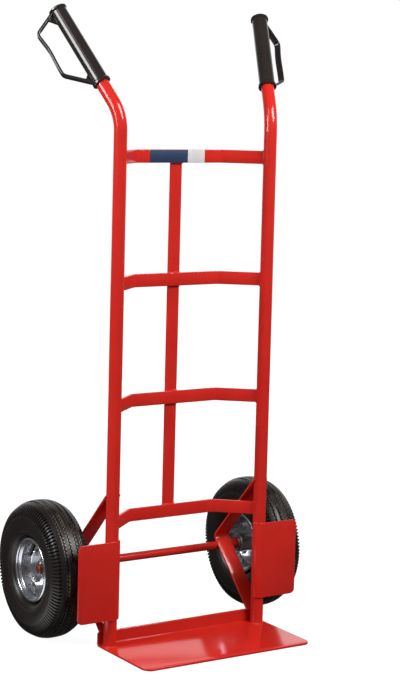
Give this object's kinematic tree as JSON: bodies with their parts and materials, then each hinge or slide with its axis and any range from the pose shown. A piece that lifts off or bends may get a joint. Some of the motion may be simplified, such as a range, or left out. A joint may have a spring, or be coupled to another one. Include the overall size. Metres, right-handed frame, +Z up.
{
  "type": "sack truck",
  "caption": "Upright two-wheeled sack truck: bent tube frame with bowed crossbars, flat toe plate, wheel fenders, pneumatic wheels and grips with knuckle guards.",
  "frame": {"origin": "on the underside of the toe plate, midway between the two uprights and in the plane of their axes", "axes": "+Z up along the uprights, -Y forward along the toe plate, +X across to the truck's right wheel as drawn in the picture"},
  "size_m": [0.555, 0.4177, 1.1874],
  "materials": {
    "red_paint": "glossy red powder coat",
    "bright_rim": "bright plated pressed steel",
    "plated_steel": "zinc plated steel",
    "tyre_rubber": "black tyre rubber, ribbed tread",
    "tube_rubber": "smooth black rubber",
    "grip_plastic": "satin charcoal moulded plastic",
    "cap_plastic": "black moulded plastic"
  },
  "bodies": {
    "frame": {"axle": "red_paint", "axle_bracket_left": "red_paint", "axle_bracket_right": "red_paint", "axle_collar_left": "red_paint", "axle_collar_right": "red_paint", "axle_washers": "plated_steel", "centre_bar": "red_paint", "crossbar_1": "red_paint", "crossbar_2": "red_paint", "crossbar_3": "red_paint", "crossbar_4": "red_paint", "grip_left": "grip_plastic", "grip_right": "grip_plastic", "split_pins": "plated_steel", "toe_plate": "red_paint", "upright_left": "red_paint", "upright_right": "red_paint", "wheel_fender_left": "red_paint", "wheel_fender_right": "red_paint"},
    "wheel_left": {"tyre_left": "tyre_rubber", "inner_tube_left": "tube_rubber", "rim_inner_left": "bright_rim", "rim_outer_left": "bright_rim", "hub_left": "plated_steel", "bearings_left": "plated_steel", "bearing_spacer_left": "plated_steel", "rim_bolts_left": "plated_steel", "rim_nuts_left": "plated_steel", "valve_stem_left": "tube_rubber", "valve_cap_left": "cap_plastic"},
    "wheel_right": {"tyre_right": "tyre_rubber", "inner_tube_right": "tube_rubber", "rim_inner_right": "bright_rim", "rim_outer_right": "bright_rim", "hub_right": "plated_steel", "bearings_right": "plated_steel", "bearing_spacer_right": "plated_steel", "rim_bolts_right": "plated_steel", "rim_nuts_right": "plated_steel", "valve_stem_right": "tube_rubber", "valve_cap_right": "cap_plastic"}
  },
  "joints": [
    {"name": "left_wheel_spin", "type": "hinge", "parent": "frame", "child": "wheel_left", "pos_m": [-0.2375, 0.1277, 0.13], "axis": [1, 0, 0], "continuous": true},
    {"name": "right_wheel_spin", "type": "hinge", "parent": "frame", "child": "wheel_right", "pos_m": [0.2375, 0.1277, 0.13], "axis": [1, 0, 0], "continuous": true}
  ]
}
